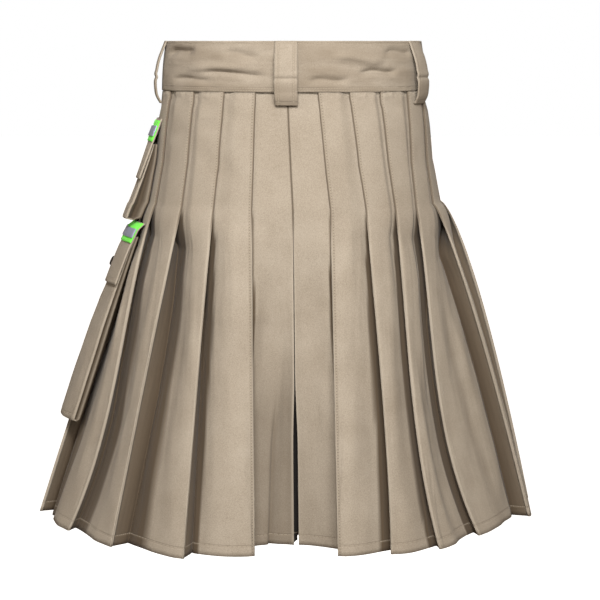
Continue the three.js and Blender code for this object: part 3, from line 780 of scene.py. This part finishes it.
def band_finish(begin, u, v, place, height, colour):
    thread, dent = 0, 0
    for drop in BAND_STITCHES:
        one, two = seam_stitches(v - drop, u, 1.0)
        thread, dent = thread + one, dent + two
    dent = dent.math("MINIMUM", 1.0)
    pucker = (place.noise(120, 1) - 0.5) * dent
    height = height + thread * THREAD_HIGH - dent * 0.00030 + pucker * 0.0008
    # darker in the stitches' dents: painted shade
    colour = (dent * 0.30).blend(colour, KHAKI_DEEP)
    # long streaks along the band: a soft wrinkle bump, and painted shade that darkens the band
    # overall and more along the streaks
    wrinkle_and_shade = begin.node("ShaderNodeCombineXYZ", {}, {0: u * 0.25, 1: v}).noise(42, 3) - 0.5
    height = height + wrinkle_and_shade * 0.0034
    colour = (wrinkle_and_shade * 2.2 + 0.26).clamped().blend(colour, KHAKI_DEEP)
    return height, (thread * 0.6).blend(colour, THREAD)


# wrinkles that lie along the band, rows like those of DRAGS, minus for a ridge
BAND_CRUSHED = 1.7      # and this much deeper, from wear
BAND_WRINKLES = [
    (0.02, 0.115, 0.041, -0.004, 0.0035, 0.0029),
    (0.045, 0.14, 0.03, 0.006, 0.0045, -0.0021),
    (0.09, 0.168, 0.046, 0.002, 0.0035, 0.0025),
    (0.118, 0.185, 0.01, 0.006, 0.005, 0.0038),
    (0.03, 0.085, 0.018, -0.003, 0.005, 0.0019),
    (-0.15, -0.085, 0.036, 0.003, 0.0035, 0.003),
    (-0.128, -0.05, 0.024, -0.005, 0.005, -0.0021),
    (-0.08, -0.02, 0.046, 0.003, 0.004, 0.0021),
    (-0.178, -0.12, 0.013, 0.002, 0.0045, 0.0023),
    (0.23, 0.33, 0.036, 0.005, 0.0045, 0.0027),
    (0.3, 0.4, 0.022, -0.006, 0.005, -0.0019),
    (-0.33, -0.22, 0.04, -0.004, 0.0045, 0.0025),
    (-0.42, -0.34, 0.026, 0.004, 0.005, 0.0021),
]

band_twill = twill("band_twill", band_finish)
band_drops = np.linspace(0, BAND, 32)
middle, runs = [], []
for drop in band_drops:
    line = ring(drop)
    start = left_side(line) + BAND_START
    end = line.total + right_side(line) + BAND_END
    along = np.linspace(start, end, 620)
    settle = smooth((along - end + line.total - LAP_GAP) / LAP_EASE)
    around = np.mod(along, line.total)
    around = np.where(around > line.total / 2, around - line.total, around)
    soft = BAND_CRUSHED * drag_depth(BAND_WRINKLES, around, drop) * settle
    soft = soft * smooth(8 * drop / BAND) * smooth(8 * (1 - drop / BAND))
    soft = soft + uneven(around, drop) * BAND_UNEVEN * settle
    bulge = -BAND_BULGE * math.sin(math.pi * drop / BAND)
    middle.append(line.at(along, mix(BAND_IN + BAND_LAP, BAND_IN + bulge, settle) + soft))
    runs.append(along - start)
middle = np.array(middle)
piece = shell("cloth_waistband", middle, BAND_CLOTH, {
    "cloth": (runs, np.broadcast_to(band_drops[:, None], middle.shape[:2]))})
declare_cloth(piece, "waistband", band_twill)


# Three belt loops: narrow strips of twill folded and stitched along both sides, sewn at
# the top of the band and below the waist seam, standing off it between the two.
LOOP_WIDTH, LOOP_CLOTH = 0.027, 0.0018
LOOP_LONG, LOOP_CREASE, LOOP_SEWN_IN, LOOP_CURL = 0.078, 0.0455, 0.0045, 0.0006
# how high the loop's ridges stand, minus for its crease, their drop and their width
LOOP_RIDGES = ((-0.0013, LOOP_CREASE, 0.0022), (0.0006, 0.0410, 0.0030))
# how far a loop's middle stands out at each drop
LOOP_FORM = np.array([
    (0, 2.7), (8, 5.2), (22, 9.4), (40, 11.6), (56, 11.4), (70, 7.4), (78, 1.9)]) / 1000
LOOPS = [("belt_loop_back", 0.0015), ("belt_loop_left", 0.214), ("belt_loop_right", -0.188)]


def eased(table, drops):
    """A smooth line through a table of drop and size, with no overshoot at its ends."""
    x, y = table[:, 0], table[:, 1]
    slope = np.gradient(y, x)
    i = np.clip(np.searchsorted(x, drops) - 1, 0, len(x) - 2)
    h = x[i + 1] - x[i]
    t = (drops - x[i]) / h
    return ((2 * t ** 3 - 3 * t ** 2 + 1) * y[i] + (t ** 3 - 2 * t ** 2 + t) * h * slope[i]
            + (3 * t ** 2 - 2 * t ** 3) * y[i + 1] + (t ** 3 - t ** 2) * h * slope[i + 1])


def loop_finish(begin, u, v, place, height, colour):
    thread, dent = 0, 0
    for across in (LOOP_SEWN_IN, LOOP_WIDTH - LOOP_SEWN_IN):
        one, two = seam_stitches(u - across, v, 1.0)
        thread, dent = thread + one, dent + two
    for drop in (0.0022, 0.0740):
        one, two = seam_stitches(v - drop, u, 1.0, 0.0016)
        thread, dent = thread + one, dent + two
    dent = dent.math("MINIMUM", 1.0)
    # lighter along the folded sides: wear and a painted highlight
    wear_and_highlight = abs(u - LOOP_WIDTH / 2).ramp(LOOP_WIDTH / 2 - 0.0015, LOOP_WIDTH / 2)
    height = height + thread * THREAD_HIGH - dent * 0.00028
    colour = (wear_and_highlight * 0.45).blend(colour, KHAKI_LIGHT)
    # darker below the crease where the loop turns back in, and in the stitches' dents: painted
    # shade
    colour = ((v - LOOP_CREASE).ramp(0.0, 0.012) * 0.45).blend(colour, KHAKI_DEEP)
    colour = (dent * 0.28).blend(colour, KHAKI_DEEP)
    return height, (thread * 0.6).blend(colour, THREAD)


loop_twill = twill("loop_twill", loop_finish)
loop_drops = np.linspace(0, LOOP_LONG, 60)
loop_out = eased(LOOP_FORM, loop_drops)
for raised, at_drop, width in LOOP_RIDGES:
    loop_out = loop_out + raised * np.exp(-((loop_drops - at_drop) / width) ** 2)
for name, place in LOOPS:
    middle = []
    t = np.linspace(-0.5, 0.5, 17)
    for drop, out in zip(loop_drops, loop_out):
        line = ring(drop)
        centre = place * line.total / ring(BAND).total
        curl = LOOP_CURL * smooth((abs(t) - 0.40) * 10)
        middle.append(line.at(centre + t * LOOP_WIDTH, -(out - curl)))
    middle = np.array(middle)
    maps = {"cloth": (np.broadcast_to((t + 0.5) * LOOP_WIDTH, middle.shape[:2]),
                      np.broadcast_to(loop_drops[:, None], middle.shape[:2]))}
    piece = shell("cloth_" + name, middle, LOOP_CLOTH, maps)
    declare_cloth(piece, name, loop_twill)


# Two cargo pockets on the wearer's left: a bag of twill open at its top, and a stiffened
# flap over it, edge-stitched all round.
SIDE_EDGE = 5
BAG_BACK, BAG_CLOTH, FLAP_CLOTH, TAPE_CLOTH = 0.003, 0.0012, 0.0016, 0.001
FLAP_OVER, FLAP_WAVE = 0.003, 0.0006
BELLOWS_DEEP = 0.013    # how far a bag's side wall folds in at most
BAG_ROUNDING, BAG_CLOSES = 0.0016, 0.0024   # at its sides, and below its bottom
POCKETS = {
    "upper": dict(
        after=0.049, width=0.148, snap=0.155, tape=(0.100, 0.126), bottom=0.223,
        bag=np.array([(130, 9), (140, 11), (150, 13.6), (173, 17.8), (206, 24.5),
                      (226, 23)]) / 1000,
        flap=np.array([(98, 2.1), (108, 4.4), (127, 10.2), (150, 16.4), (173, 20.6)]) / 1000),
    "lower": dict(
        after=0.040, width=0.164, snap=0.286, tape=(0.229, 0.253), bottom=0.480,
        bag=np.array([(246, 7.2), (262, 9.2), (290, 10.2), (318, 11.4), (360, 13.2), (430, 13.5),
                      (480, 13), (496, 10)]) / 1000,
        flap=np.array([(229, 2.4), (236, 8.2), (262, 11.8), (290, 13.2), (306, 13.6)]) / 1000),
}


def pocket_middle(line, sizes):
    return line.mark(SIDE_EDGE) + sizes["after"]


def bag_finish(begin, u, v, place, height, colour):
    # the fold map holds painted shade: the bellows walls and the bag's back are painted dark
    fold_shade, _ = begin.uv("fold")
    colour = (fold_shade * 0.95).blend(colour, PAINTED_FOLD_SHADE)
    from_edge, _ = begin.uv("edge")
    thread, dent = seam_stitches(from_edge - SEWN_IN, u + v, 1.0)
    height = height + thread * THREAD_HIGH - dent * 0.00030
    # lighter along the edges: wear and a painted highlight; darker in the stitches' dents:
    # painted shade
    wear_and_highlight = from_edge.ramp(0.0, 0.003, 1, 0) * 0.45
    colour = wear_and_highlight.blend(colour, KHAKI_LIGHT)
    colour = (dent * 0.28).blend(colour, KHAKI_DEEP)
    return height, (thread * 0.6).blend(colour, THREAD)


bag_twill = twill("pocket_twill", bag_finish)


def bag(name, sizes):
    """Outer cloth, two side walls folded in as bellows, and back, in one wall open on top."""
    table, width = sizes["bag"], sizes["width"]
    top, bottom = table[0, 0], sizes["bottom"]
    t = np.concatenate([np.linspace(-0.5, -0.47, 5)[:-1], np.linspace(-0.47, 0.47, 45),
                        np.linspace(0.47, 0.5, 5)[1:]])
    wall = np.linspace(0, 1, 10)[1:-1]
    rows, runs, edges, shade_rows = [], [], [], []
    drops = list(np.linspace(top, bottom, 60)) + [bottom + 0.0012, bottom + 0.0022]
    for drop in drops:
        line = ring(float(drop))
        centre = pocket_middle(line, sizes)
        out = float(np.interp(drop, table[:, 0], table[:, 1]))
        closed = min(max((drop - bottom) / BAG_CLOSES, 0), 1)
        middle, open_by = (out + BAG_BACK) / 2, (out - BAG_BACK) / 2 * (1 - closed)
        sag = 0.0011 * np.sin(t * 9 + drop * 31) + 0.0008 * np.sin(t * 17 - drop * 52)
        sag = abs(sag) * smooth((0.5 - abs(t)) * 8) * float(
            smooth((drop - top) / 0.02)) * (1 - closed)
        rounding = BAG_ROUNDING * smooth(1 - (0.5 - abs(t)) * width / 0.0025)
        folded = min(1.3 * open_by, BELLOWS_DEEP) * (1 - abs(2 * wall - 1))
        depth = middle + open_by * (1 - 2 * wall)
        outer = line.at(centre + t * width, -(middle + open_by - sag - rounding))
        near = line.at(centre + width / 2 - folded, -depth)
        back = line.at(centre + t[::-1] * width, np.full(len(t), -(middle - open_by)))
        far = line.at(centre - width / 2 + folded, -depth)[::-1]
        rows.append(np.concatenate([outer, near, back, far, outer[:1]]))
        runs.append(run_along(rows[-1]))
        side = np.minimum((0.5 - abs(t)) * width, bottom - drop)
        plain = np.full(len(wall), 0.02)
        edges.append(np.concatenate([side, plain, np.full(len(t), 0.02), plain, side[:1]]))
        # painted shade: none on the outer cloth, rising into the bellows walls, full on the back
        inside = smooth(1.6 * (1 - abs(2 * wall - 1)))
        shade_rows.append(np.concatenate([np.zeros(len(t)), inside, np.ones(len(t)), inside, [0]]))
    rows, runs, edges, shade_rows = (np.array(a) for a in (rows, runs, edges, shade_rows))
    maps = {"cloth": (runs, np.broadcast_to(np.array(drops)[:, None], runs.shape)),
            "edge": (edges, edges), "fold": (shade_rows, shade_rows)}
    return shell(name, rows, BAG_CLOTH, maps), rows


def over_flap(name, sizes, top, bottom, lift, thickness, rows=26):
    """Cloth across a pocket between two drops: the flap, or what is sewn on it."""
    width = sizes["width"] + 2 * FLAP_OVER
    t = np.linspace(-0.5, 0.5, 49)
    drops = np.linspace(top, bottom, rows)
    outs = np.interp(drops, sizes["flap"][:, 0], sizes["flap"][:, 1]) + lift
    middle = np.array([
        ring(d).at(pocket_middle(ring(d), sizes) + t * width,
                   -(out + FLAP_WAVE * np.sin(t * 11 + d * 40)))
        for d, out in zip(drops, outs)])
    run = np.broadcast_to((t + 0.5) * width, middle.shape[:2])
    drop = np.broadcast_to(drops[:, None], middle.shape[:2])
    edge = np.minimum(np.minimum(run, width - run), np.minimum(bottom - drop, drop - top + 0.004))
    plain = np.zeros(middle.shape[:2])
    maps = {"cloth": (run, drop), "edge": (edge, edge), "fold": (plain, plain)}
    return shell(name, middle, thickness, maps), middle


for prefix, sizes in POCKETS.items():
    piece, middle = bag("cloth_" + prefix + "_pocket_bag", sizes)
    declare_cloth(piece, prefix + "_pocket_bag", bag_twill)
    piece, middle = over_flap("cloth_" + prefix + "_pocket_flap", sizes, sizes["flap"][0, 0],
                              sizes["flap"][-1, 0], 0, FLAP_CLOTH)
    declare_cloth(piece, prefix + "_pocket_flap", bag_twill)


# Bright tape across the head of each flap: a woven lime tape with a narrower silver
# reflecting strip stitched along its middle.
TAPE_LIFT, STRIP_LIFT, TAPE_EDGE = 0.0018, 0.0033, 0.0065
TAPE_SEWN_IN, TAPE_STITCH = 0.0012, 0.0028


def tape_material(name, dark, light, rib, roughness, metallic, sheen, specular):
    material, begin = start_material(name)
    u, v = begin.uv("cloth")
    place = begin.node("ShaderNodeTexCoord", {}, {}, 3)
    across, down = ((x * (2 * math.pi / rib)).math("SINE") for x in (u, v))
    grid = across * 0.5 + down * 0.5
    from_edge, _ = begin.uv("edge")
    thread, dent = seam_stitches(from_edge - TAPE_SEWN_IN, u, 1.0, TAPE_STITCH)
    tone = (place.noise(140, 2) * 0.6 + 0.2 + grid * 0.15).clamped()
    colour = tone.blend(dark, light)
    # darker in the stitches' dents: painted shade
    colour = (dent * 0.25).blend(colour, dark)
    height = grid * 0.00004 - dent * 0.0002 + thread * 0.00018
    finish_material(begin, colour, height, roughness, sheen, metallic, specular)
    return material


lime = tape_material("lime_tape", (0.10, 0.62, 0.03, 1), (0.20, 0.95, 0.08, 1),
                     0.0009, 0.7, 0, 0.1, 0.3)
silver = tape_material("silver_strip", (0.26, 0.28, 0.37, 1), (0.40, 0.43, 0.56, 1),
                       0.0007, 0.38, 0.35, 0, 0.5)
for prefix, sizes in POCKETS.items():
    top, bottom = sizes["tape"]
    for part, lift, inset, look, slot in (
        ("tape", TAPE_LIFT, 0, lime, "lime_tape"),
        ("tape_strip", STRIP_LIFT, TAPE_EDGE, silver, "silver_strip"),
    ):
        piece, middle = over_flap(f"cloth_{prefix}_{part}", sizes, top + inset, bottom - inset,
                                  lift, TAPE_CLOTH, 12)
        declare_cloth(piece, f"{prefix}_{part}", look)


# Four press snaps with domed metal caps: one on each pocket flap, and two on the end of
# the waistband. Each cap is pressed from one sheet, with a rolled rim and a dished top.
SNAP_RADIUS, SNAP_TALL, SNAP_LIFT, SNAP_IN = 0.007, 0.003, 0.0003, 0.002
BAND_SNAPS = (("band_snap_top", 0.018), ("band_snap_low", 0.044))
CAP_RINGS = ((0.0008, 0.0002), (0.0010, -0.0005), (0.0022, 0.0003), (0.0012, 0.0001))
snap_metal, begin = start_material("snap_metal")
place = begin.node("ShaderNodeTexCoord", {}, {}, 3)
wear = place.noise(420, 3)
colour = wear.ramp(0.45, 0.75).blend((0.020, 0.016, 0.014, 1), (0.075, 0.062, 0.052, 1))
finish_material(begin, colour, (place.noise(1500, 2) - 0.5) * 0.00003, 0.32, 0, 0.85, 0.5)

bpy.ops.mesh.primitive_cylinder_add(
    vertices=48, radius=SNAP_RADIUS, depth=SNAP_TALL, location=(0, 0, 0))
cap = bpy.context.active_object
bpy.ops.object.mode_set(mode="EDIT")
bpy.ops.mesh.select_mode(type="FACE")
bpy.ops.mesh.select_all(action="DESELECT")
bpy.ops.object.mode_set(mode="OBJECT")
for face in cap.data.polygons:
    face.select = face.normal.z > 0.9
bpy.ops.object.mode_set(mode="EDIT")
bpy.ops.transform.resize(value=(0.88, 0.88, 1))
for inwards, raised in CAP_RINGS:
    bpy.ops.mesh.inset(thickness=inwards, depth=raised)
bpy.ops.object.mode_set(mode="OBJECT")
rounded = cap.modifiers.new("rounded", "BEVEL")
rounded.width, rounded.segments = 0.0003, 3
rounded.limit_method, rounded.angle_limit = "ANGLE", 0.6
bpy.ops.object.modifier_apply(modifier=rounded.name)
bpy.ops.object.shade_smooth_by_angle(angle=math.radians(35))
cap.data.materials.append(snap_metal)


def place_snap(name, drop, along_of, out_of):
    """A copy of the cap on the outside of a cloth, facing straight out from it."""
    step = 0.004
    here, lower = (ring(d).at(along_of(ring(d)), -out_of(d)) for d in (drop, drop + step))
    beside = ring(drop).at(along_of(ring(drop)) + step, -out_of(drop))
    way = Vector(beside - here).cross(Vector(lower - here)).normalized()
    if way.dot(Vector((here[0], here[1], 0))) < 0:
        way = -way
    piece = cap.copy()
    piece.data = cap.data.copy()
    piece.name = name
    scene.collection.objects.link(piece)
    piece.rotation_euler = way.to_track_quat("Z", "Y").to_euler()
    piece.location = Vector(here) + way * (SNAP_TALL / 2 + SNAP_LIFT)
    bpy.context.view_layer.update()
    piece.data.transform(piece.matrix_world)
    piece.location, piece.rotation_euler = (0, 0, 0), (0, 0, 0)
    return piece


for prefix, sizes in POCKETS.items():
    forms = sizes["flap"]
    piece = place_snap(
        "cap_" + prefix + "_pocket_snap", sizes["snap"], lambda line: pocket_middle(line, sizes),
        lambda d: float(np.interp(d, forms[:, 0], forms[:, 1])) + FLAP_CLOTH / 2 + FLAP_WAVE)
    declare(piece, prefix + "_pocket_snap")
for name, drop in BAND_SNAPS:
    piece = place_snap("cap_" + name, drop, lambda line: right_side(line) + SNAP_IN,
                       lambda d: -BAND_IN + BAND_CLOTH / 2 + BAND_BULGE)
    declare(piece, name)
bpy.data.objects.remove(cap)

bpy.context.view_layer.update()
